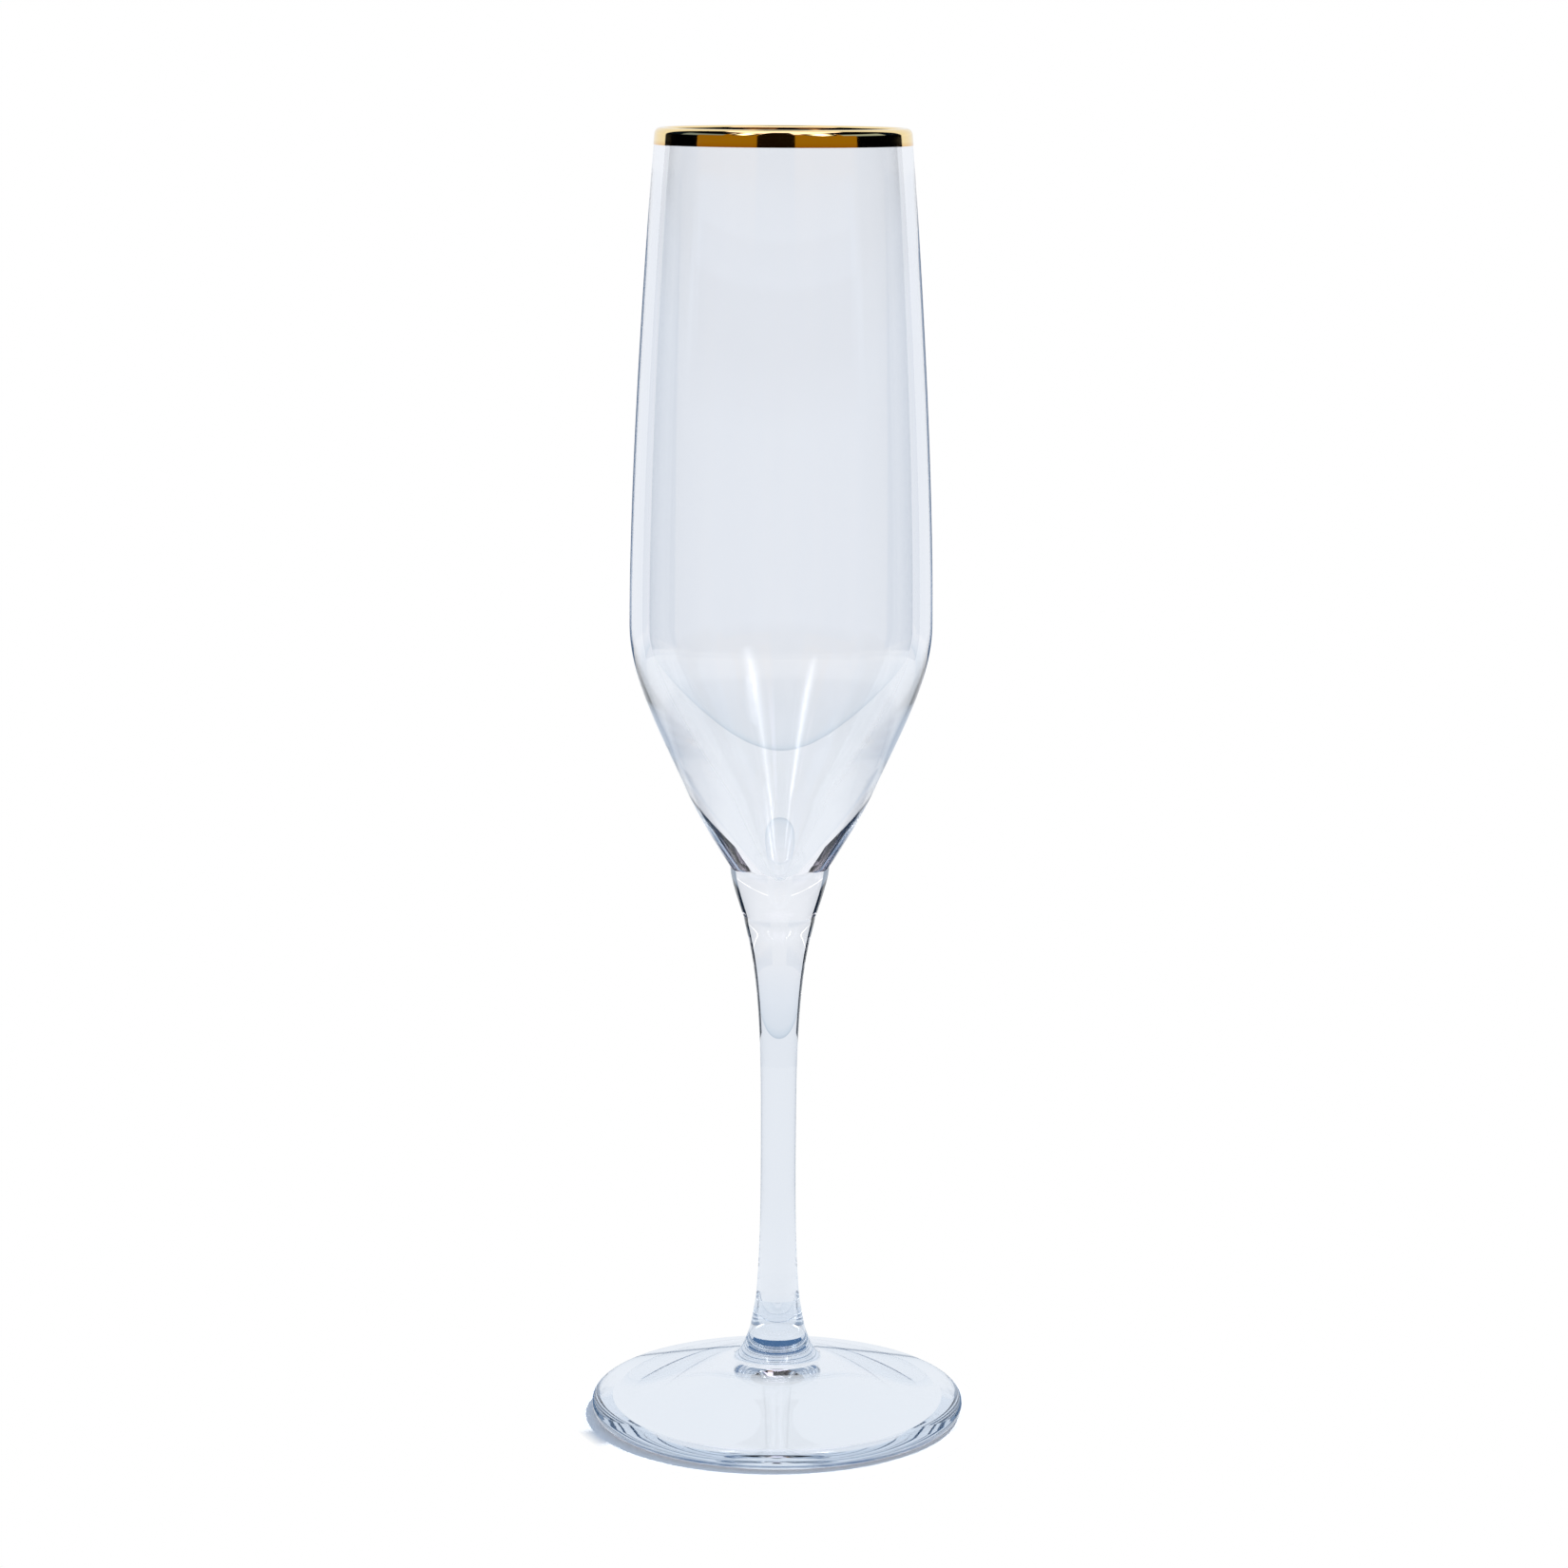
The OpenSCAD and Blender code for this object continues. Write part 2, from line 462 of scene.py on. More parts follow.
def own_place(tree):
    """Where a point lies in the piece's own coordinates."""
    return tree.nodes.new("ShaderNodeTexCoord").outputs["Object"]


def own_axes(tree):
    axes = tree.nodes.new("ShaderNodeSeparateXYZ")
    tree.links.new(own_place(tree), axes.inputs["Vector"])
    return axes.outputs


# %% Noise, ranges and arithmetic


def stretched_noise(tree, scale, detail):
    """Noise in the piece's own coordinates, with its own scale along each axis."""
    mapping = tree.nodes.new("ShaderNodeMapping")
    mapping.inputs["Scale"].default_value = scale
    noise = tree.nodes.new("ShaderNodeTexNoise")
    noise.inputs["Scale"].default_value = 1.0
    noise.inputs["Detail"].default_value = detail
    tree.links.new(own_place(tree), mapping.inputs["Vector"])
    tree.links.new(mapping.outputs["Vector"], noise.inputs["Vector"])
    return noise.outputs["Fac"]


def spread(tree, source, low, high, from_low=0.3, from_high=0.7):
    """Carries a value from one range onto another. Most of a noise lies from 0.3 to 0.7."""
    reach = tree.nodes.new("ShaderNodeMapRange")
    reach.inputs["From Min"].default_value = from_low
    reach.inputs["From Max"].default_value = from_high
    reach.inputs["To Min"].default_value = low
    reach.inputs["To Max"].default_value = high
    tree.links.new(source, reach.inputs["Value"])
    return reach.outputs["Result"]


def worked(tree, operation, first, second=None):
    """One step of arithmetic on a value, with a number or another value."""
    step = tree.nodes.new("ShaderNodeMath")
    step.operation = operation
    tree.links.new(first, step.inputs[0])
    if isinstance(second, float):
        step.inputs[1].default_value = second
    elif second is not None:
        tree.links.new(second, step.inputs[1])
    return step.outputs["Value"]


# %% Mixed colours and mixed shaders


def blended(tree, factor, first, second):
    """A colour between two, by a factor."""
    mix = tree.nodes.new("ShaderNodeMix")
    mix.data_type = "RGBA"
    colours = [socket for socket in mix.inputs if socket.type == "RGBA"]
    colours[0].default_value = (*first, 1.0)
    colours[1].default_value = (*second, 1.0)
    tree.links.new(factor, mix.inputs["Factor"])
    return next(socket for socket in mix.outputs if socket.type == "RGBA")


def mixed(tree, factor, first, second):
    """A shader between two, by a factor."""
    mix = tree.nodes.new("ShaderNodeMixShader")
    tree.links.new(factor, mix.inputs["Fac"])
    tree.links.new(first, mix.inputs[1])
    tree.links.new(second, mix.inputs[2])
    return mix.outputs["Shader"]


def bumped(tree, height, strength, distance):
    bump = tree.nodes.new("ShaderNodeBump")
    bump.inputs["Strength"].default_value = strength
    bump.inputs["Distance"].default_value = distance
    tree.links.new(height, bump.inputs["Height"])
    return bump.outputs["Normal"]


# %% [markdown]
# ## Glass
#
# Clear glass is all in its edges: light goes straight through where the walls are thin and is bent
# away where they curve. A Principled shader with full transmission does that. The faint blue of the
# glass is put in the outer skin alone, so that every ray that goes straight through keeps the same
# share of its colour, and the hollow's surface is left almost clear. Blown glass is never quite even,
# so a stretched noise draws faint upright streaks in its surface and its tint. Noise in the piece's
# own coordinates needs no unwrapping and has no seam.

# %% Glass finishes
GLASS_IOR = 1.5
STREAK_DETAIL = 3.0
STREAK_ROUGH = 0.006
FINE_WAVE = 1e-6
WAVE = 2e-6


def glass(name, pale, deep, streak_scale, wave):
    """Clear glass whose tint wanders between two, with streaks as a wave in its surface."""
    material, tree, output = blank_material(name)
    shader = tree.nodes.new("ShaderNodeBsdfPrincipled")
    shader.inputs["Transmission Weight"].default_value = 1.0
    shader.inputs["IOR"].default_value = GLASS_IOR
    streaks = stretched_noise(tree, streak_scale, STREAK_DETAIL)
    tint = blended(tree, spread(tree, streaks, 0.0, 1.0), pale, deep)
    tree.links.new(tint, shader.inputs["Base Color"])
    tree.links.new(spread(tree, streaks, 0.0, STREAK_ROUGH), shader.inputs["Roughness"])
    tree.links.new(bumped(tree, streaks, 1.0, wave), shader.inputs["Normal"])
    tree.links.new(shader.outputs["BSDF"], output.inputs["Surface"])
    print(name, "made")
    return material


bowl_glass = glass(
    "bowl_glass",
    pale=(0.975, 0.982, 0.994),
    deep=(0.957, 0.968, 0.985),
    streak_scale=(260.0, 260.0, 9.0),
    wave=WAVE,
)
hollow_glass = glass(
    "hollow_glass",
    pale=(1.0, 1.0, 1.0),
    deep=(0.985, 0.99, 0.995),
    streak_scale=(220.0, 220.0, 7.0),
    wave=WAVE,
)
stem_glass = glass(
    "stem_glass",
    pale=(0.960, 0.970, 0.985),
    deep=(0.945, 0.960, 0.978),
    streak_scale=(300.0, 300.0, 20.0),
    wave=FINE_WAVE,
)
foot_glass = glass(
    "foot_glass",
    pale=(0.958, 0.972, 0.987),
    deep=(0.942, 0.962, 0.981),
    streak_scale=(90.0, 90.0, 90.0),
    wave=WAVE,
)

# %% [markdown]
# Where two pieces are fused there is no surface for light to meet. The flat seam faces get a clear
# finish that lets every ray go straight on, so the three pieces act as one body of glass. They could
# be joined into one mesh, but then they would no longer be three parts. Faces are picked by place and
# normal: flat ones at a weld's height are seams, and ones that look to the axis are the hollow's.

# %% Clear the fused seams, and the hollow
SEAM_REACH = 1e-5
FLAT = 0.999

fused_seam, seam_tree, seam_output = blank_material("fused_seam")
seam_clear = seam_tree.nodes.new("ShaderNodeBsdfTransparent")
seam_tree.links.new(seam_clear.outputs["BSDF"], seam_output.inputs["Surface"])


def outwards(facet):
    """How far a face looks away from the axis, times its radius."""
    return facet.normal.x * facet.center.x + facet.normal.y * facet.center.y


def finish_glass(piece, skin, seam_heights, inside=None):
    """The skin all over, a clear seam on each weld face, and the finish of the hollow's side."""
    for material in (skin, fused_seam, inside):
        if material:
            piece.data.materials.append(material)
    counts = [0, 0, 0]
    for facet in piece.data.polygons:
        flat = abs(facet.normal.z) > FLAT
        welded = flat and any(abs(facet.center.z - z * MM) < SEAM_REACH for z in seam_heights)
        hollow = inside and outwards(facet) < 0
        facet.material_index = 1 if welded else 2 if hollow else 0
        counts[facet.material_index] += 1
    print(piece.name, "skin, seam and hollow faces", counts)


finish_glass(blown_bowl, bowl_glass, [bowl_weld_z], hollow_glass)
finish_glass(drawn_stem, stem_glass, [foot_weld_z, bowl_weld_z])
finish_glass(pressed_foot, foot_glass, [])

# %% [markdown]
# Light travels furthest in the foot, along its disc, and it looks bluer the longer its way. A deeper
# tint on the surface would colour thin and thick glass alike, so this is absorption in the volume. A
# volume wants one material on the whole body, so the foot's seam is cleared inside that material,
# wherever a point lies at the weld's height.

# %% Depth of the foot's glass
DEPTH_BLUE = (0.25, 0.48, 0.72)
DEPTH_DENSITY = 6.0
WELD_MARGIN = 0.0005

foot_tree = foot_glass.node_tree
foot_output = node_of(foot_tree, "OUTPUT_MATERIAL")
foot_skin = node_of(foot_tree, "BSDF_PRINCIPLED")
foot_depth = foot_tree.nodes.new("ShaderNodeVolumeAbsorption")
foot_depth.inputs["Color"].default_value = (*DEPTH_BLUE, 1.0)
foot_depth.inputs["Density"].default_value = DEPTH_DENSITY
foot_tree.links.new(foot_depth.outputs["Volume"], foot_output.inputs["Volume"])
foot_clear = foot_tree.nodes.new("ShaderNodeBsdfTransparent")
at_weld = worked(foot_tree, "GREATER_THAN", own_axes(foot_tree)["Z"], (foot_weld_z - WELD_MARGIN) * MM)
foot_surface = mixed(foot_tree, at_weld, foot_skin.outputs["BSDF"], foot_clear.outputs["BSDF"])
foot_tree.links.new(foot_surface, foot_output.inputs["Surface"])
print("foot's glass is tinted in its depth, at density", DEPTH_DENSITY)

# %% [markdown]
# ## Fired gold
#
# The gold is a mirror with a warm colour. It is thinner at its lower edge, where it turns reddish, and
# the brush left fine lines round the lip. A smooth metal would look like a plain ring, so height mixes
# the two colours, and a noise that is squeezed along the axis makes the lines.

# %% Gold finish
RICH_GOLD = (0.98, 0.75, 0.35)
THIN_GOLD = (0.85, 0.50, 0.18)
THIN_EDGE = 0.9
BRUSH_SCALE = (120.0, 120.0, 9000.0)
BRUSH_DETAIL = 2.0
BRUSH_DEPTH = 0.15
GOLD_ROUGH = (0.03, 0.09)

gold, gold_tree, gold_output = blank_material("fired_gold")
gold_shader = gold_tree.nodes.new("ShaderNodeBsdfPrincipled")
gold_shader.inputs["Metallic"].default_value = 1.0
band_low = (lip_top_z - band_h) * MM
thin_edge = spread(gold_tree, own_axes(gold_tree)["Z"], 1.0, 0.0, band_low, band_low + THIN_EDGE * MM)
gold_colour = blended(gold_tree, thin_edge, RICH_GOLD, THIN_GOLD)
gold_tree.links.new(gold_colour, gold_shader.inputs["Base Color"])
brush_lines = stretched_noise(gold_tree, BRUSH_SCALE, BRUSH_DETAIL)
gold_tree.links.new(spread(gold_tree, brush_lines, *GOLD_ROUGH), gold_shader.inputs["Roughness"])
gold_tree.links.new(bumped(gold_tree, brush_lines, BRUSH_DEPTH, WAVE), gold_shader.inputs["Normal"])
gold_tree.links.new(gold_shader.outputs["BSDF"], gold_output.inputs["Surface"])
gold_band.data.materials.append(gold)
print("gold from", round(band_low / MM, 1), "to", round(lip_top_z + gold_t, 1), "mm")

# %% [markdown]
# On the inside of the lip the gold lies in its own shade, which is painted here as a dark brown. A lamp
# less would darken the outside too, so the faces that look to the axis get a copy of the gold with one dark
# colour: painted shade.

# %% Gold inside the lip, in painted shade
# The dark brown is painted shade for the inside of the lip.
PAINTED_SHADE_BROWN = (0.10, 0.045, 0.012)
INNER_LOOK = -0.72

gold_painted_shade = gold.copy()
gold_painted_shade.name = "gold_painted_shade"
inner_tree = gold_painted_shade.node_tree
inner_shader = node_of(inner_tree, "BSDF_PRINCIPLED")
inner_tree.links.remove(inner_shader.inputs["Base Color"].links[0])
inner_shader.inputs["Base Color"].default_value = (*PAINTED_SHADE_BROWN, 1.0)
gold_band.data.materials.append(gold_painted_shade)
for facet in gold_band.data.polygons:
    facet.material_index = 1 if outwards(facet) / facet.center.xy.length < INNER_LOOK else 0
print("inner gold on", sum(facet.material_index for facet in gold_band.data.polygons), "faces")

# %% [markdown]
# ## Fit the pieces to the frame
#
# Each piece stands for one solid of the frame, which it hides, and moves with the one body there is.
# A loop over the four says it once.

# %% Ride and replace
for piece, node_name, slot_name in (
    (blown_bowl, "bowl", "clear_glass"),
    (drawn_stem, "stem", "clear_glass"),
    (pressed_foot, "foot", "clear_glass"),
    (gold_band, "gold_rim", "fired_gold"),
):
    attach(piece, "root")
    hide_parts(node_name)
    print(piece.name, "replaces", node_name)

# %% [markdown]
# ## Camera
#
# A long lens a little above the lip, pitched down, so that the lip is almost a line and the foot an
# open ellipse. It could be placed by eye, but the flatness of those two ellipses fixes its height and
# its distance, so these are solved numbers.

# %% Camera
CAMERA_PLACE = (0.0, -0.7375, 0.2498)
CAMERA_PITCH = 10.13
CAMERA_ROLL = -0.30
LENS = 95.3
SENSOR = 36.0

camera_data = bpy.data.cameras.new("camera")
camera_data.sensor_width = SENSOR
camera_data.lens = LENS
camera = bpy.data.objects.new("camera", camera_data)
bpy.context.scene.collection.objects.link(camera)
camera.location = CAMERA_PLACE
camera.rotation_euler = (math.radians(90 - CAMERA_PITCH), math.radians(CAMERA_ROLL), 0.0)
bpy.context.scene.camera = camera
bpy.context.view_layer.update()
print("camera at", tuple(round(v, 3) for v in camera.location))

# %% [markdown]
# ## Studio
#
# Glass has little colour of its own, so its edges are drawn by what stands round it. The flute stands
# on a white table in a white room. Round it hang flags, panels and cards that the lens never sees:
# each draws one line or patch in the glass or one stripe in the gold. They hang on the camera's own
# boom and go where it goes, so the flute looks the same from every side.
#
# The table comes first. A lit white plane would be as white as its lamps make it, so this one glows in
# its own white, and only close to the foot is it matt, to take a soft shadow. Rays that went through
# glass see it a little bluish. Rays that glass has mirrored also see a dark blue ring on it, which
# draws the sides of the lower cone and the far edge of the foot.

# %% Table
TABLE_R = 0.43
TABLE_DROP = 0.0001

bpy.ops.object.select_all(action="DESELECT")
bpy.ops.mesh.primitive_circle_add(
    vertices=128, radius=TABLE_R, fill_type="NGON", location=(0, 0, -TABLE_DROP)
)
table = bpy.context.object
table.name = "table"
print("table", TABLE_R, "m in radius")

# %% Table finish
WHITE = (1.0, 1.0, 1.0)
TABLE_MATT = (0.93, 0.93, 0.93)
TABLE_PALE = (0.85, 0.885, 0.935)
RING_BLUE = (0.05, 0.10, 0.19)
SHADOW_R = 0.0354
SHADOW_FADE = 0.003
RING_START = (0.115, 0.16)
RING_END = (0.24, 0.28)


def glowing(tree, tone):
    """Light of one even tone."""
    glow = tree.nodes.new("ShaderNodeEmission")
    glow.inputs["Color"].default_value = (*tone, 1.0)
    return glow


table_paint, table_tree, table_output = blank_material("table_paint")
table_reach = table_tree.nodes.new("ShaderNodeVectorMath")
table_reach.operation = "LENGTH"
table_tree.links.new(own_place(table_tree), table_reach.inputs[0])
from_axis = table_reach.outputs["Value"]

table_matt = table_tree.nodes.new("ShaderNodeBsdfDiffuse")
table_matt.inputs["Color"].default_value = (*TABLE_MATT, 1.0)
table_white = glowing(table_tree, WHITE)
past_shadow = spread(table_tree, from_axis, 0.0, 1.0, SHADOW_R, SHADOW_R + SHADOW_FADE)
to_lens = mixed(table_tree, past_shadow, table_matt.outputs["BSDF"], table_white.outputs["Emission"])

ring_rise = spread(table_tree, from_axis, 0.0, 1.0, *RING_START)
ring_fall = spread(table_tree, from_axis, 1.0, 0.0, *RING_END)
in_ring = worked(table_tree, "MINIMUM", ring_rise, ring_fall)
table_ringed = table_tree.nodes.new("ShaderNodeEmission")
table_tree.links.new(blended(table_tree, in_ring, TABLE_PALE, RING_BLUE), table_ringed.inputs["Color"])
table_pale = glowing(table_tree, TABLE_PALE)
print("ring on the table from", RING_START[0], "to", RING_END[1], "m")

# %% What each ray sees of the table
table_path = table_tree.nodes.new("ShaderNodeLightPath").outputs
to_glass = mixed(
    table_tree,
    table_path["Is Transmission Ray"],
    table_ringed.outputs["Emission"],
    table_pale.outputs["Emission"],
)
by_glass = worked(table_tree, "MAXIMUM", table_path["Is Glossy Ray"], table_path["Is Transmission Ray"])
table_tree.links.new(mixed(table_tree, by_glass, to_lens, to_glass), table_output.inputs["Surface"])
table.data.materials.append(table_paint)
print("table is matt within", round((SHADOW_R + SHADOW_FADE) / MM, 1), "mm of the axis")

# %% [markdown]
# The lens, the glass and the gold see plain white all round, which is the world's own colour and no
# lamp. The table is lit by a bluish room and by one lamp, so its shadow is bluish.

# %% Surround
ROOM_LIGHT = (0.50, 0.61, 0.78)

world = bpy.data.worlds.new("surround")
bpy.context.scene.world = world
world.use_nodes = True
sky = world.node_tree
sky.nodes.clear()
sky_output = sky.nodes.new("ShaderNodeOutputWorld")
sky_light = sky.nodes.new("ShaderNodeBackground")
sky_light.inputs["Color"].default_value = (*ROOM_LIGHT, 1.0)
sky_white = sky.nodes.new("ShaderNodeBackground")
sky_white.inputs["Color"].default_value = (*WHITE, 1.0)
sky_path = sky.nodes.new("ShaderNodeLightPath").outputs
sky_by_glass = worked(sky, "MAXIMUM", sky_path["Is Glossy Ray"], sky_path["Is Transmission Ray"])
sky_seen = worked(sky, "MAXIMUM", sky_path["Is Camera Ray"], sky_by_glass)
sky_mix = mixed(sky, sky_seen, sky_light.outputs["Background"], sky_white.outputs["Background"])
sky.links.new(sky_mix, sky_output.inputs["Surface"])
print("room light", ROOM_LIGHT)

# %% [markdown]
# ## Panels on the camera's boom
#
# A panel is a curved upright sheet round the flute, between two azimuths. Azimuths are degrees from
# the lens, to the right where positive. Its paint glows in tones by height, so one sheet can be dark
# where the gold mirrors it and pale where the cone shows it. Area lamps could draw such shapes too,
# but a lamp lights everything, while a sheet that only glass and gold can see draws its own line and
# nothing else. Radii and heights are in millimetres.
#
# Light linking can make a panel dark for one piece: the piece goes in a collection that the panel
# leaves out of what it lights.

# %% Hang a piece of the studio on the boom


def on_boom(made):
    """Hides a piece of the studio from the lens and from the table, and hangs it on the boom."""
    made.visible_camera = False
    made.visible_diffuse = False
    made.visible_shadow = False
    made.parent = camera
    made.matrix_parent_inverse = camera.matrix_world.inverted()


def keep_dark_for(made, piece):
    """Takes a panel's light away from one piece."""
    unlit = bpy.data.collections.new(made.name + "_unlit")
    unlit.objects.link(piece)
    unlit.collection_objects[0].light_linking.link_state = "EXCLUDE"
    made.light_linking.receiver_collection = unlit


# %% Paint that glows in tones by height


def toned_paint(name, tones):
    """A glow whose tone goes by height through pairs of a height and a tone."""
    paint, tree, output = blank_material(name)
    low = tones[0][0]
    high = tones[-1][0]
    ramp = tree.nodes.new("ShaderNodeValToRGB")
    rise = spread(tree, own_axes(tree)["Z"], 0.0, 1.0, low * MM, high * MM)
    tree.links.new(rise, ramp.inputs["Fac"])
    stops = ramp.color_ramp.elements
    for height, tone in tones[1:-1]:
        stops.new((height - low) / (high - low))
    for stop, (height, tone) in zip(stops, tones):
        stop.color = (*tone, 1.0)
    glow = tree.nodes.new("ShaderNodeEmission")
    tree.links.new(ramp.outputs["Color"], glow.inputs["Color"])
    tree.links.new(glow.outputs["Emission"], output.inputs["Surface"])
    return paint


# %% Bend a panel round the flute
PANEL_STEPS = 24


def panel(name, first, last, tones, radius):
    """A curved upright panel between two azimuths, toned by height. Spin turns against azimuth."""
    line = straight(Vector((radius, tones[0][0])), Vector((radius, tones[-1][0])))
    made = draw(name, line, azimuth=first)
    turn(made, angle=math.radians(first - last), steps=PANEL_STEPS)
    made.data.materials.append(toned_paint(name + "_paint", tones))
    on_boom(made)
    return made


# %% [markdown]
# ## Flags, posts and panels
#
# These stand in one ring. From the front to the sides they are a shade at the lens, a panel on each
# side, a post and two flags. The gold mirrors what lies a little above its own height: amber in the
# panels and posts, black in the flags and umber in the shade. Higher up, blue middle tones lighten the
# upper ends of the dark patches over the crease, and the cream above them is the room's light.

# %% Tones of the ring
PANEL_R = 576.0
PANEL_LOW = -40.0
PANEL_HIGH = 2400.0
BLACK = (0.0005, 0.0005, 0.0008)
BLUE = (0.30, 0.38, 0.50)
HAZE = (0.29, 0.36, 0.46)
AMBER = (0.306, 0.153, 0.0034)
UMBER = (0.008, 0.004, 0.001)
CREAM = (1.6, 1.45, 1.75)
LEFT_MID = (0.20, 0.28, 0.42)
RIGHT_MID = (0.36, 0.46, 0.60)
BACK_MID = (0.002, 0.006, 0.018)

high_black_tones = [(640.0, BLACK), (1320.0, BLACK), (1450.0, CREAM), (PANEL_HIGH, CREAM)]
low_blue_tones = [(PANEL_LOW, BLUE), (255.0, BLUE)]
front_tones = low_blue_tones + [(290.0, AMBER), (640.0, AMBER), (800.0, CREAM), (PANEL_HIGH, CREAM)]
shade_tones = low_blue_tones + [(290.0, UMBER), (PANEL_HIGH, UMBER)]
print("ring", PANEL_R, "mm in radius, up to", PANEL_HIGH, "mm")


def flag_tones(mid):
    """Black as the gold sees it, a middle tone above, black again and the room's light."""
    return [(205.0, HAZE), (225.0, BLACK), (345.0, BLACK), (380.0, mid), (560.0, mid)] + high_black_tones


def post_tones(mid):
    """Amber as the gold sees it, and above that as a flag."""
    return low_blue_tones + [(290.0, AMBER), (400.0, AMBER), (440.0, mid), (560.0, mid)] + high_black_tones


# %% Ring of flags, posts and panels
for name, first, last, tones in (
    ("left_back_flag", -128.0, -103.0, flag_tones(BACK_MID)),
    ("left_flag", -103.0, -81.0, flag_tones(LEFT_MID)),
    ("left_post", -81.0, -56.0, post_tones(LEFT_MID)),
    ("left_panel", -56.0, -23.0, front_tones),
    ("camera_shade", -23.0, 10.0, shade_tones),
    ("right_panel", 10.0, 55.0, front_tones),
    ("right_post", 55.0, 67.0, post_tones(RIGHT_MID)),
    ("right_flag", 67.0, 103.0, flag_tones(RIGHT_MID)),
    ("right_back_flag", 103.0, 128.0, flag_tones(BACK_MID)),
):
    panel(name, first, last, tones, PANEL_R)

# %% [markdown]
# Below the flags hang low flags of a hazy blue, which show as soft veils down both sides of the bowl.
# The stem's edges are almost black, so these two give it no light. Black low flags would do for the
# stem, but not for the bowl.

# %% Low flags, dark for the stem
low_flag_tones = [(-22.0, HAZE), (205.0, HAZE)]

for name, first, last in (("left_low_flag", -128.0, -81.0), ("right_low_flag", 67.0, 128.0)):
    keep_dark_for(panel(name, first, last, low_flag_tones, PANEL_R), drawn_stem)

# %% [markdown]
# Low cards stand just outside the foot's edge, in blue tones of painted contact shadow, and draw the
# blue lines round it and the dark band in the flare. A taller card further off would show in the bowl as
# well, so these are low and close. An apron in front, at the height of the bowl, lays a faint veil over the
# bowl's upper half.

# %% Cards of painted contact shadow by the foot, and an apron
SHADOW_CARD_R = 36.0
APRON_R = 250.0
NAVY = (0.006, 0.030, 0.095)
# The cards' blues are painted contact shadow round the foot, seen in the glass.
FRONT_SHADOW_BLUE = (0.36, 0.47, 0.64)
SIDE_SHADOW_BLUE = (0.09, 0.19, 0.36)
BACK_SHADOW_BLUE = (0.07, 0.16, 0.32)

front_shadow_tones = [(0.2, FRONT_SHADOW_BLUE), (1.2, FRONT_SHADOW_BLUE)]
side_shadow_tones = [(0.2, SIDE_SHADOW_BLUE), (2.6, SIDE_SHADOW_BLUE)]
back_shadow_tones = [(0.2, BACK_SHADOW_BLUE), (2.0, BACK_SHADOW_BLUE)]
apron_tones = [(110.0, BLUE), (185.0, BLUE), (195.0, NAVY), (225.0, NAVY)]

# Cards of painted contact shadow, just outside the foot's edge.
panel("left_shadow_card", -122.0, -58.0, side_shadow_tones, SHADOW_CARD_R)
panel("front_shadow_card", -58.0, 58.0, front_shadow_tones, SHADOW_CARD_R)
panel("right_shadow_card", 58.0, 150.0, side_shadow_tones, SHADOW_CARD_R)
panel("back_shadow_card", 164.0, 196.0, back_shadow_tones, SHADOW_CARD_R)
panel("apron", -75.0, 60.0, apron_tones, APRON_R)

# %% [markdown]
# ## Backdrop
#
# Far behind stands a pale backdrop, which is what most of the glass shows. A dim band high in its
# middle shows as two soft bars in the foot. A tall ramp can't hold a thin line, so the bright lines
# that show as short arcs in the neck and under it are narrow panels of their own, just in front of the
# backdrop. Two blue cards there show only in reflections and draw the thin line along the bowl's
# sides. Seen through the glass as well, they would be dark bars in the bowl.

# %% Backdrop
BACKDROP_R = 6000.0
BACKDROP_LOW = -2400.0
BACKDROP_HIGH = 22000.0
PALE = (0.893, 0.912, 0.952)
DIM_PALE = (0.835, 0.865, 0.918)
DUSK = (0.02, 0.02, 0.035)

middle_tones = [
    (BACKDROP_LOW, PALE),
    (7500.0, PALE),
    (8200.0, DUSK),
    (12000.0, DUSK),
    (14000.0, PALE),
    (BACKDROP_HIGH, PALE),
]
side_tones = [(BACKDROP_LOW, DIM_PALE), (25.0, DIM_PALE), (205.0, PALE), (BACKDROP_HIGH, PALE)]

panel("left_backdrop", -170.0, -120.0, side_tones, BACKDROP_R)
panel("backdrop", 170.0, 190.0, middle_tones, BACKDROP_R)
panel("right_backdrop", 120.0, 170.0, side_tones, BACKDROP_R)

# %% Cards for the bowl's sides, and bright lines
LINE_R = 5900.0
EDGE_BLUE = (0.12, 0.21, 0.37)
BRIGHT = (2.0, 1.96, 1.88)
SPARK = (1.2, 1.19, 1.17)

edge_tones = [(-1100.0, EDGE_BLUE), (60.0, EDGE_BLUE)]
line_tones = [(616.0, BRIGHT), (642.0, BRIGHT)]
faint_line_tones = [(616.0, SPARK), (642.0, SPARK)]

for name, first, last in (("left_edge", -172.0, -157.0), ("right_edge", 157.0, 172.0)):
    panel(name, first, last, edge_tones, LINE_R).visible_transmission = False
panel("left_line", -152.0, -120.0, line_tones, LINE_R)
panel("left_faint_line", -170.0, -152.0, faint_line_tones, LINE_R)
panel("right_faint_line", 152.0, 170.0, faint_line_tones, LINE_R)
panel("right_line", 120.0, 152.0, line_tones, LINE_R)

# %% [markdown]
# ## Ceiling and wall
#
# The ring is closed by a cream ceiling. A low wall behind the table, shaded towards its foot, gives the
# curved line across the cone and the round end of the pale patch in the stem's head. It is a piece of
# its own, so that its shades can be set apart from the backdrop's.

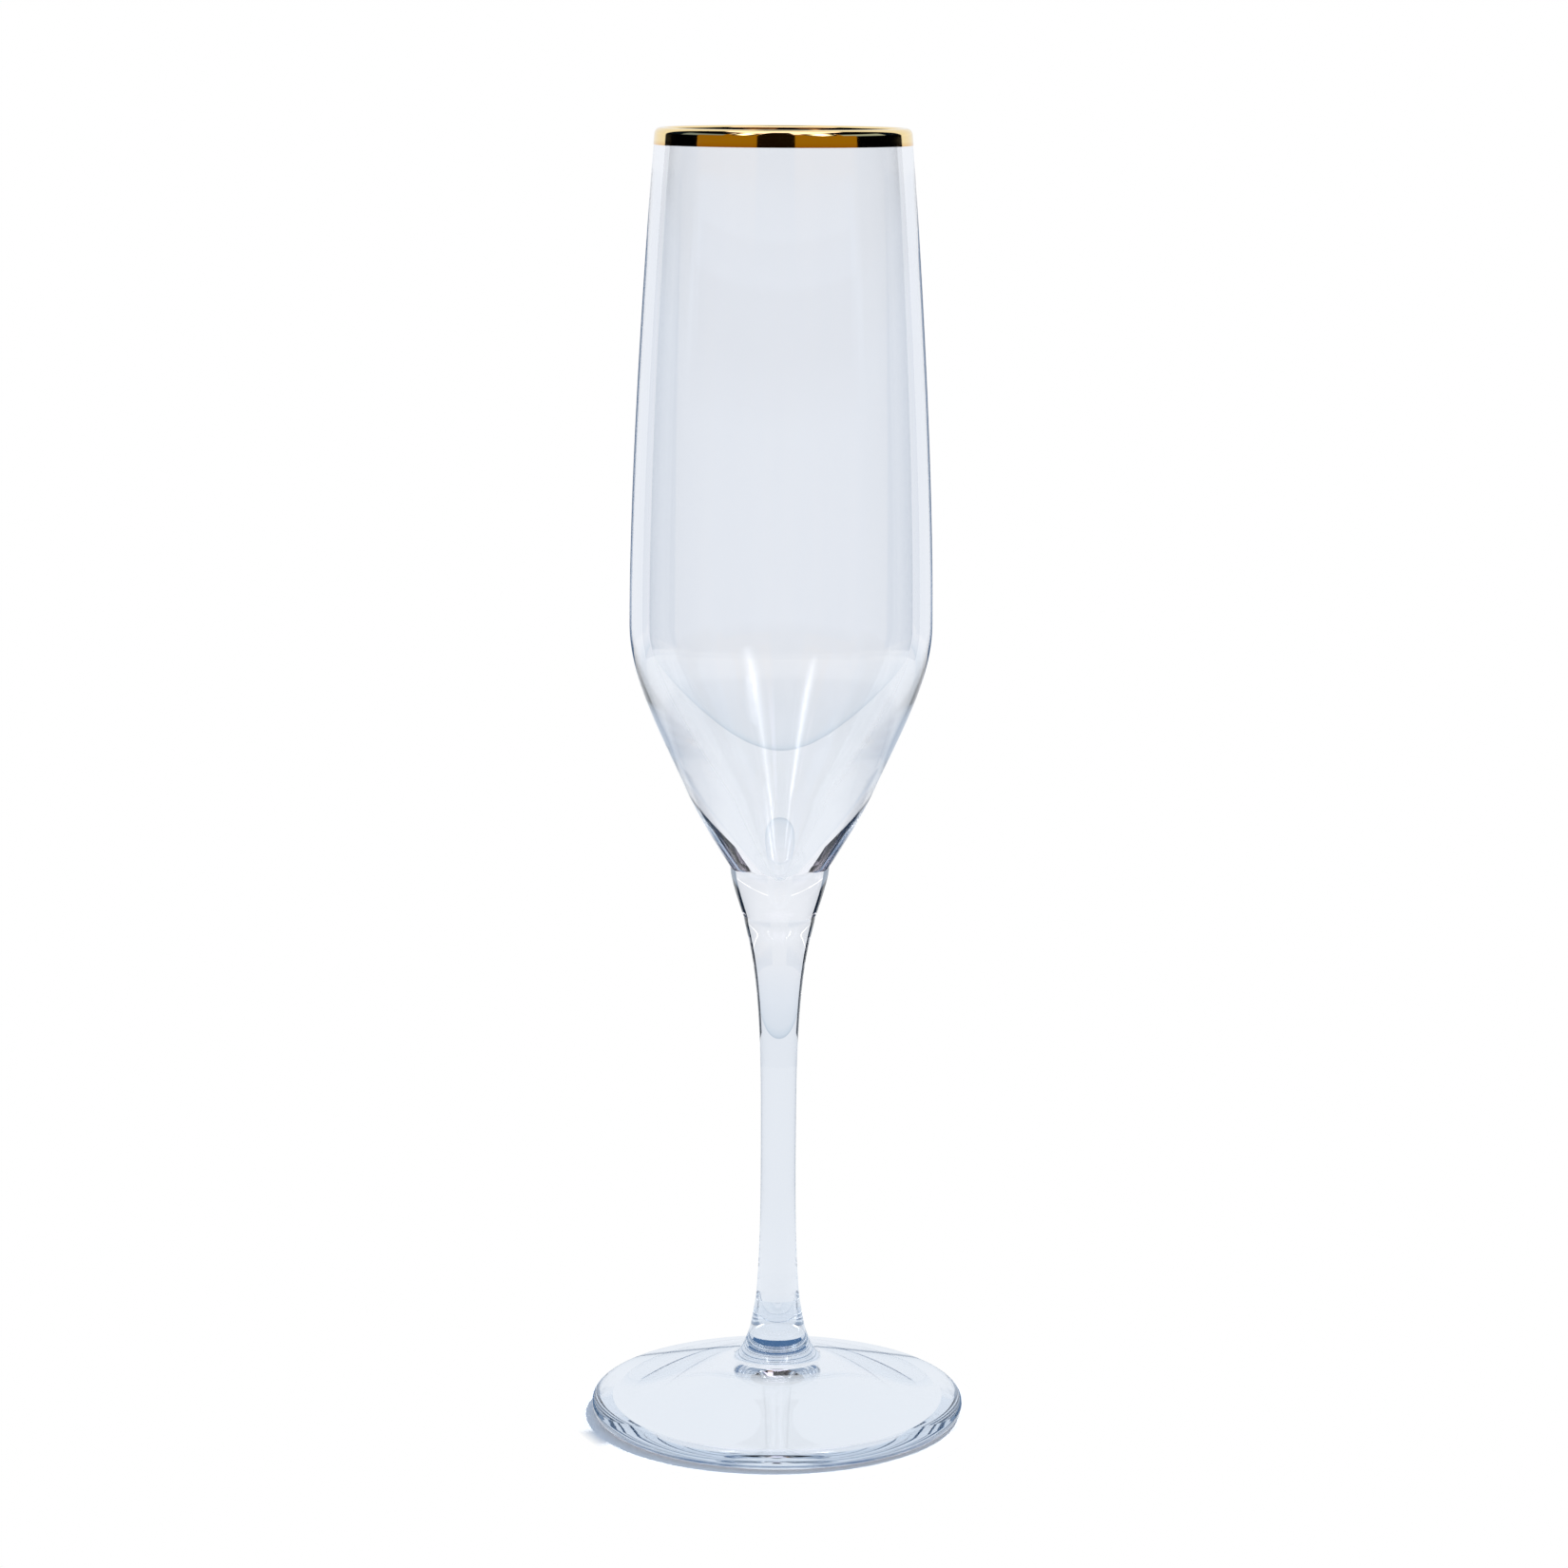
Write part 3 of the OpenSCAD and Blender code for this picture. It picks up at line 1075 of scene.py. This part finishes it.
# %% Ceiling
bpy.ops.object.select_all(action="DESELECT")
bpy.ops.mesh.primitive_circle_add(vertices=48, radius=PANEL_R * MM, fill_type="NGON")
ceiling = bpy.context.object
ceiling.name = "ceiling"
ceiling.location = (0.0, 0.0, PANEL_HIGH * MM)
bpy.context.view_layer.update()
ceiling_paint, ceiling_tree, ceiling_output = blank_material("ceiling_paint")
ceiling_glow = glowing(ceiling_tree, CREAM)
ceiling_tree.links.new(ceiling_glow.outputs["Emission"], ceiling_output.inputs["Surface"])
ceiling.data.materials.append(ceiling_paint)
on_boom(ceiling)
print("ceiling at", PANEL_HIGH, "mm")

# %% Wall behind the table
WALL_Y = 0.370
WALL_HALF = 0.455
WALL_H = 64.0

wall_tones = [
    (0.0, (0.55, 0.63, 0.72)),
    (0.03 * WALL_H, (0.69, 0.765, 0.845)),
    (0.10 * WALL_H, (0.775, 0.827, 0.893)),
    (0.40 * WALL_H, (0.83, 0.87, 0.93)),
    (WALL_H, PALE),
]

bpy.ops.object.select_all(action="DESELECT")
bpy.ops.mesh.primitive_plane_add(size=1.0)
wall = bpy.context.object
wall.name = "wall"
wall.scale = (2 * WALL_HALF, WALL_H * MM, 1.0)
wall.rotation_euler = (math.radians(90), 0.0, 0.0)
wall.location = (0.0, WALL_Y, WALL_H * MM / 2)
bpy.ops.object.transform_apply(location=True, rotation=True, scale=True)
wall.data.materials.append(toned_paint("wall_paint", wall_tones))
on_boom(wall)
print("wall", WALL_H, "mm high")

# %% [markdown]
# ## Lamps
#
# Two softboxes stand over the lens, left and right, and make the two long streaks down the cone and two
# glints in the gold. An even lamp would make streaks with hard sides, so each is a sheet that glows
# along its middle and fades out to its edges. One small lamp lights the table alone and throws the
# foot's shadow to the left.

# %% Face the bowl
AIM = Vector((0.0, 0.0, 0.15))


def face_bowl(made, azimuth, elevation, distance):
    """Puts a lamp or a sheet at a place round the flute and turns its face to the bowl."""
    a = math.radians(azimuth)
    e = math.radians(elevation)
    way = Vector((math.sin(a) * math.cos(e), -math.cos(a) * math.cos(e), math.sin(e)))
    made.location = AIM + distance * way
    made.rotation_mode = "QUATERNION"
    made.rotation_quaternion = way.to_track_quat("Z", "Y")


# %% Softboxes
SOFTBOX_TONE = 11.0
SOFTBOX_AWAY = 0.62
SIDE_FADE = 2.5


def softbox_paint(name, width, height):
    """A glow that is brightest at the sheet's middle and falls to nothing at its edges."""
    paint, tree, output = blank_material(name)
    axes = own_axes(tree)
    across = spread(tree, worked(tree, "ABSOLUTE", axes["X"]), 1.0, 0.0, 0.0, width / 2)
    along = spread(tree, worked(tree, "ABSOLUTE", axes["Y"]), 1.0, 0.0, 0.0, height / 2)
    shape = worked(tree, "MULTIPLY", worked(tree, "POWER", across, SIDE_FADE), along)
    glow = glowing(tree, WHITE)
    tree.links.new(worked(tree, "MULTIPLY", shape, SOFTBOX_TONE), glow.inputs["Strength"])
    tree.links.new(glow.outputs["Emission"], output.inputs["Surface"])
    return paint


def softbox(name, azimuth, elevation, width, height):
    bpy.ops.object.select_all(action="DESELECT")
    bpy.ops.mesh.primitive_plane_add(size=1.0)
    made = bpy.context.object
    made.name = name
    made.scale = (width, height, 1.0)
    bpy.ops.object.transform_apply(location=False, rotation=False, scale=True)
    face_bowl(made, azimuth, elevation, SOFTBOX_AWAY)
    bpy.context.view_layer.update()
    made.data.materials.append(softbox_paint(name + "_paint", width, height))
    on_boom(made)
    print(name, "at azimuth", azimuth, "and elevation", elevation)


softbox("right_softbox", azimuth=36.0, elevation=39.0, width=0.26, height=0.36)
softbox("left_softbox", azimuth=-38.0, elevation=44.0, width=0.20, height=0.34)

# %% Lamp for the table
LAMP_SIDE = 0.03
LAMP_TONE = 3400.0

lamp_data = bpy.data.lights.new("table_lamp", "AREA")
lamp_data.shape = "RECTANGLE"
lamp_data.size = LAMP_SIDE
lamp_data.size_y = LAMP_SIDE
lamp_data.energy = LAMP_TONE * math.pi * LAMP_SIDE * LAMP_SIDE
table_lamp = bpy.data.objects.new("table_lamp", lamp_data)
bpy.context.scene.collection.objects.link(table_lamp)
face_bowl(table_lamp, azimuth=115.0, elevation=62.0, distance=1.0)
table_lamp.visible_glossy = False
table_lamp.visible_transmission = False
print("table lamp", round(lamp_data.energy, 2), "W")

# %% [markdown]
# ## Render settings that belong to glass
#
# A ray crosses many walls before it gets out of a glass, so it is allowed more bounces. The Standard
# view keeps white as white, where a filmic view would turn it grey.

# %% View and bounces
scene = bpy.context.scene
scene.view_settings.view_transform = "Standard"
scene.cycles.max_bounces = 32
scene.cycles.transmission_bounces = 32
scene.cycles.glossy_bounces = 16
scene.cycles.transparent_max_bounces = 32
print("bounces", scene.cycles.max_bounces)
